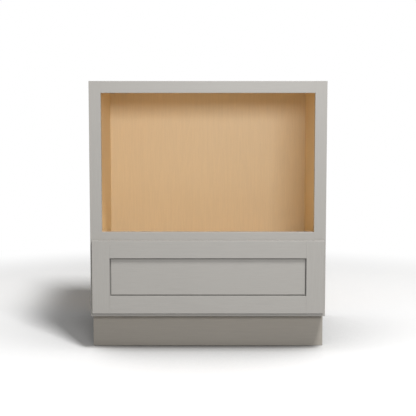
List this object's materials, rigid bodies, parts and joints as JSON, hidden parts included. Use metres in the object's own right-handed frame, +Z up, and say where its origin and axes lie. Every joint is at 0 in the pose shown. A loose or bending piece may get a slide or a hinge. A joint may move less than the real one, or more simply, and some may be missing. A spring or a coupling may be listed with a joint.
{
  "type": "microwave cabinet",
  "caption": "Base cabinet in painted wood with an open maple-lined microwave bay above one framed drawer on concealed full-extension slides, and a recessed toe kick.",
  "frame": {"origin": "on the floor, at the middle of the footprint with the drawer shut", "axes": "+X to the right seen from the front, +Y from the front to the wall, +Z up"},
  "size_m": [0.762, 0.6302, 0.8763],
  "materials": {
    "painted_wood": "satin warm-grey paint",
    "maple_plywood": "clear satin lacquer over maple veneer",
    "birch": "clear lacquered solid wood",
    "zinc_steel": "zinc-plated rolled sheet",
    "grey_plastic": "moulded, matte",
    "orange_plastic": "moulded, matte",
    "clear_rubber": "soft, cloudy"
  },
  "bodies": {
    "cabinet": {"side_panel_left": "painted_wood", "side_panel_right": "painted_wood", "deck": "maple_plywood", "shelf": "maple_plywood", "shelf_cleat_left": "maple_plywood", "shelf_cleat_right": "maple_plywood", "top_panel": "maple_plywood", "back_panel": "maple_plywood", "back_rail_top": "birch", "back_rail_middle": "birch", "back_rail_bottom": "birch", "toe_board": "painted_wood", "frame_stile_left": "painted_wood", "frame_stile_right": "painted_wood", "frame_top_rail": "painted_wood", "frame_middle_rail": "painted_wood", "frame_bottom_rail": "painted_wood", "slide_left_cabinet_rail": "zinc_steel", "slide_right_cabinet_rail": "zinc_steel", "slide_left_rear_bracket": "grey_plastic", "slide_right_rear_bracket": "grey_plastic", "slide_screws": "zinc_steel"},
    "drawer": {"front_stile_left": "painted_wood", "front_stile_right": "painted_wood", "front_rail_top": "painted_wood", "front_rail_bottom": "painted_wood", "front_panel": "painted_wood", "front_bumpers": "clear_rubber", "front_screws": "zinc_steel", "drawer_side_left": "birch", "drawer_side_right": "birch", "drawer_box_front": "birch", "drawer_box_back": "birch", "drawer_bottom": "maple_plywood", "slide_left_drawer_rail": "zinc_steel", "slide_right_drawer_rail": "zinc_steel", "lock_left_body": "grey_plastic", "lock_right_body": "grey_plastic", "lock_screws": "zinc_steel"},
    "middle_rail_left": {"slide_left_middle_rail": "zinc_steel"},
    "lower_cage_left": {"slide_left_lower_cage": "grey_plastic"},
    "upper_cage_left": {"slide_left_upper_cage": "grey_plastic"},
    "lock_lever_left": {"lock_left_lever": "orange_plastic"},
    "middle_rail_right": {"slide_right_middle_rail": "zinc_steel"},
    "lower_cage_right": {"slide_right_lower_cage": "grey_plastic"},
    "upper_cage_right": {"slide_right_upper_cage": "grey_plastic"},
    "lock_lever_right": {"lock_right_lever": "orange_plastic"}
  },
  "joints": [
    {"name": "drawer_slide", "type": "slide", "parent": "cabinet", "child": "drawer", "axis": [0, -1, 0], "range_m": [0, 0.495]},
    {"name": "middle_rail_left_slide", "type": "slide", "parent": "cabinet", "child": "middle_rail_left", "axis": [0, -1, 0], "range_m": [0, 0.2475]},
    {"name": "lower_cage_left_slide", "type": "slide", "parent": "cabinet", "child": "lower_cage_left", "axis": [0, -1, 0], "range_m": [0, 0.12375]},
    {"name": "upper_cage_left_slide", "type": "slide", "parent": "cabinet", "child": "upper_cage_left", "axis": [0, -1, 0], "range_m": [0, 0.37125]},
    {"name": "lock_lever_left_squeeze", "type": "hinge", "parent": "drawer", "child": "lock_lever_left", "pos_m": [-0.26625, -0.26917, 0.1734], "axis": [0, 0, -1], "range_deg": [0, 12], "stiffness_Nm_per_rad": 0.05},
    {"name": "middle_rail_right_slide", "type": "slide", "parent": "cabinet", "child": "middle_rail_right", "axis": [0, -1, 0], "range_m": [0, 0.2475]},
    {"name": "lower_cage_right_slide", "type": "slide", "parent": "cabinet", "child": "lower_cage_right", "axis": [0, -1, 0], "range_m": [0, 0.12375]},
    {"name": "upper_cage_right_slide", "type": "slide", "parent": "cabinet", "child": "upper_cage_right", "axis": [0, -1, 0], "range_m": [0, 0.37125]},
    {"name": "lock_lever_right_squeeze", "type": "hinge", "parent": "drawer", "child": "lock_lever_right", "pos_m": [0.26625, -0.26917, 0.1734], "axis": [0, 0, 1], "range_deg": [0, 12], "stiffness_Nm_per_rad": 0.05}
  ],
  "couplings": [
    {"joint": "middle_rail_left_slide", "follows": "drawer_slide", "ratio": 0.5},
    {"joint": "lower_cage_left_slide", "follows": "drawer_slide", "ratio": 0.25},
    {"joint": "upper_cage_left_slide", "follows": "drawer_slide", "ratio": 0.75},
    {"joint": "middle_rail_right_slide", "follows": "drawer_slide", "ratio": 0.5},
    {"joint": "lower_cage_right_slide", "follows": "drawer_slide", "ratio": 0.25},
    {"joint": "upper_cage_right_slide", "follows": "drawer_slide", "ratio": 0.75}
  ]
}
